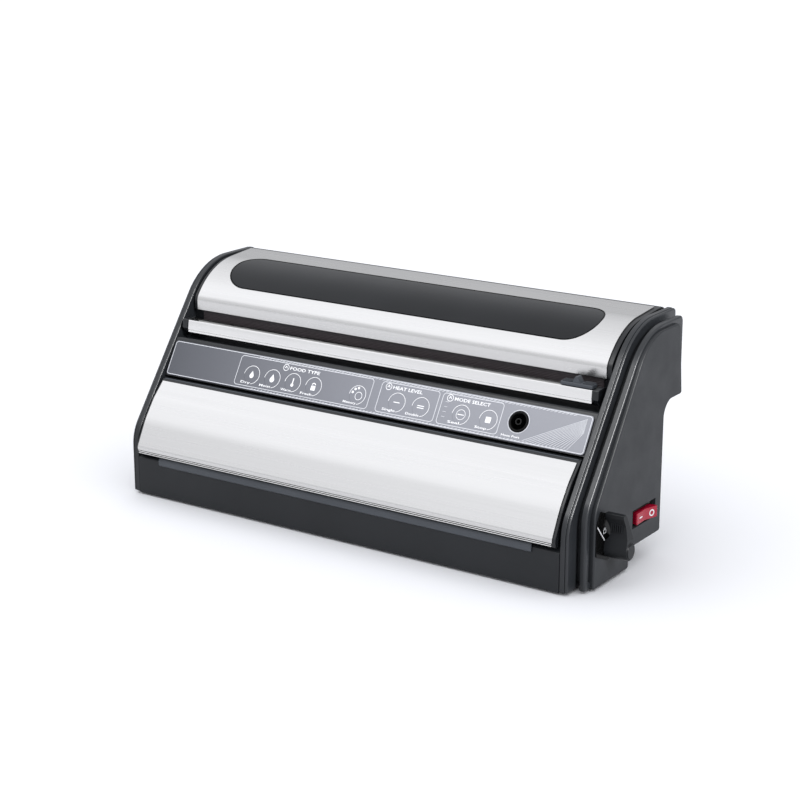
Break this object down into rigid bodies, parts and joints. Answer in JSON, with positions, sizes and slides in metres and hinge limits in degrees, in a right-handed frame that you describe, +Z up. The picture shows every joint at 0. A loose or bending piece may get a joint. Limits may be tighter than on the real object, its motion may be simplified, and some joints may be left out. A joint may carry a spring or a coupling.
{
  "type": "vacuum sealer",
  "caption": "Upright countertop vacuum sealer with hinged chamber lid, key panel, sliding film cutter, roll bay lid, side lock lever and power rocker.",
  "frame": {"origin": "middle of the bounding box, at the table", "axes": "+X to the right as seen from the front, +Y to the rear, +Z up"},
  "size_m": [0.412, 0.1524, 0.1693],
  "materials": {
    "black_plastic": "satin",
    "dark_plastic": "satin",
    "gloss_black": "gloss",
    "brushed_steel": "brushed",
    "polished_steel": "polished",
    "panel_film": "semi-gloss",
    "smoked_window": "gloss",
    "red_plastic": "gloss",
    "grey_rubber": "matte",
    "seal_tape": "woven",
    "ivory_plastic": "matte",
    "iron": "satin",
    "circuit_green": "satin",
    "clear_hose": "satin"
  },
  "bodies": {
    "housing": {"left_end_rim": "black_plastic", "right_end_rim": "black_plastic", "right_side_trim": "black_plastic", "left_side_panel": "black_plastic", "right_side_panel": "black_plastic", "rear_cover": "black_plastic", "rear_shelf": "black_plastic", "main_bezel": "black_plastic", "base_tray": "dark_plastic", "front_ledge": "dark_plastic", "bottom_cover": "dark_plastic", "roll_cradle": "dark_plastic", "drip_tray": "dark_plastic", "accessory_port": "gloss_black", "power_inlet": "gloss_black", "switch_housing": "gloss_black", "lever_plate": "gloss_black", "control_overlay": "panel_film", "front_foot_1": "grey_rubber", "front_foot_2": "grey_rubber", "rear_foot_1": "grey_rubber", "rear_foot_2": "grey_rubber", "lower_gasket": "grey_rubber", "heater_tape": "seal_tape", "vacuum_pump": "ivory_plastic", "solenoid_valve": "ivory_plastic", "lid_switch": "ivory_plastic", "heater_bar": "iron", "pump_motor": "iron", "transformer": "iron", "control_board": "circuit_green", "chamber_hose": "clear_hose"},
    "chamber_lid": {"chamber_lid_skin": "brushed_steel", "chamber_lid_frame": "black_plastic", "upper_gasket": "grey_rubber", "seal_pressure_strip": "grey_rubber", "lid_catch_left": "iron", "lid_catch_right": "iron"},
    "roll_lid": {"roll_lid_skin": "brushed_steel", "roll_lid_frame": "black_plastic", "roll_lid_window": "smoked_window"},
    "cutter_bar": {"cutter_rail": "polished_steel", "cutter_left_arm": "black_plastic", "cutter_right_arm": "black_plastic"},
    "cutter_carriage": {"cutter_slider": "black_plastic", "cutter_blade": "polished_steel"},
    "lock": {"lock_lever": "black_plastic", "lock_lever_cap": "dark_plastic", "lock_shaft": "iron"},
    "rocker": {"power_rocker": "red_plastic"},
    "key_dry_body": {"key_dry": "panel_film"},
    "key_moist_body": {"key_moist": "panel_film"},
    "key_warm_body": {"key_warm": "panel_film"},
    "key_fresh_body": {"key_fresh": "panel_film"},
    "key_memory_body": {"key_memory": "panel_film"},
    "key_single_heat_body": {"key_single_heat": "panel_film"},
    "key_double_heat_body": {"key_double_heat": "panel_film"},
    "key_seal_only_body": {"key_seal_only": "panel_film"},
    "key_stop_body": {"key_stop": "panel_film"}
  },
  "joints": [
    {"name": "chamber_lid_hinge", "type": "hinge", "parent": "housing", "child": "chamber_lid", "pos_m": [-0.0133, -0.04006, 0.0805], "axis": [-1, 0, 0], "range_deg": [0, 60]},
    {"name": "roll_lid_hinge", "type": "hinge", "parent": "housing", "child": "roll_lid", "pos_m": [-0.0133, 0.06794, 0.1615], "axis": [-1, 0, 0], "range_deg": [0, 100]},
    {"name": "cutter_bar_hinge", "type": "hinge", "parent": "housing", "child": "cutter_bar", "pos_m": [-0.0133, -0.00406, 0.121], "axis": [-1, 0, 0], "range_deg": [0, 28]},
    {"name": "cutter_slide", "type": "slide", "parent": "cutter_bar", "child": "cutter_carriage", "axis": [-1, 0, 0], "range_m": [0, 0.326]},
    {"name": "lock_lever_turn", "type": "hinge", "parent": "housing", "child": "lock", "pos_m": [0.1917, -0.03756, 0.0275], "axis": [1, 0, 0], "range_deg": [0, 45]},
    {"name": "power_rocker_turn", "type": "hinge", "parent": "housing", "child": "rocker", "pos_m": [0.1847, 0.01744, 0.034], "axis": [0, 0, 1], "range_deg": [0, 14]},
    {"name": "key_dry_press", "type": "slide", "parent": "housing", "child": "key_dry_body", "axis": [0, 0.8575, -0.5144], "range_m": [0, 0.0005], "stiffness_N_per_m": 300, "springref_m": -0.0005},
    {"name": "key_moist_press", "type": "slide", "parent": "housing", "child": "key_moist_body", "axis": [0, 0.8575, -0.5144], "range_m": [0, 0.0005], "stiffness_N_per_m": 300, "springref_m": -0.0005},
    {"name": "key_warm_press", "type": "slide", "parent": "housing", "child": "key_warm_body", "axis": [0, 0.8575, -0.5144], "range_m": [0, 0.0005], "stiffness_N_per_m": 300, "springref_m": -0.0005},
    {"name": "key_fresh_press", "type": "slide", "parent": "housing", "child": "key_fresh_body", "axis": [0, 0.8575, -0.5144], "range_m": [0, 0.0005], "stiffness_N_per_m": 300, "springref_m": -0.0005},
    {"name": "key_memory_press", "type": "slide", "parent": "housing", "child": "key_memory_body", "axis": [0, 0.8575, -0.5144], "range_m": [0, 0.0005], "stiffness_N_per_m": 300, "springref_m": -0.0005},
    {"name": "key_single_heat_press", "type": "slide", "parent": "housing", "child": "key_single_heat_body", "axis": [0, 0.8575, -0.5144], "range_m": [0, 0.0005], "stiffness_N_per_m": 300, "springref_m": -0.0005},
    {"name": "key_double_heat_press", "type": "slide", "parent": "housing", "child": "key_double_heat_body", "axis": [0, 0.8575, -0.5144], "range_m": [0, 0.0005], "stiffness_N_per_m": 300, "springref_m": -0.0005},
    {"name": "key_seal_only_press", "type": "slide", "parent": "housing", "child": "key_seal_only_body", "axis": [0, 0.8575, -0.5144], "range_m": [0, 0.0005], "stiffness_N_per_m": 300, "springref_m": -0.0005},
    {"name": "key_stop_press", "type": "slide", "parent": "housing", "child": "key_stop_body", "axis": [0, 0.8575, -0.5144], "range_m": [0, 0.0005], "stiffness_N_per_m": 300, "springref_m": -0.0005}
  ]
}
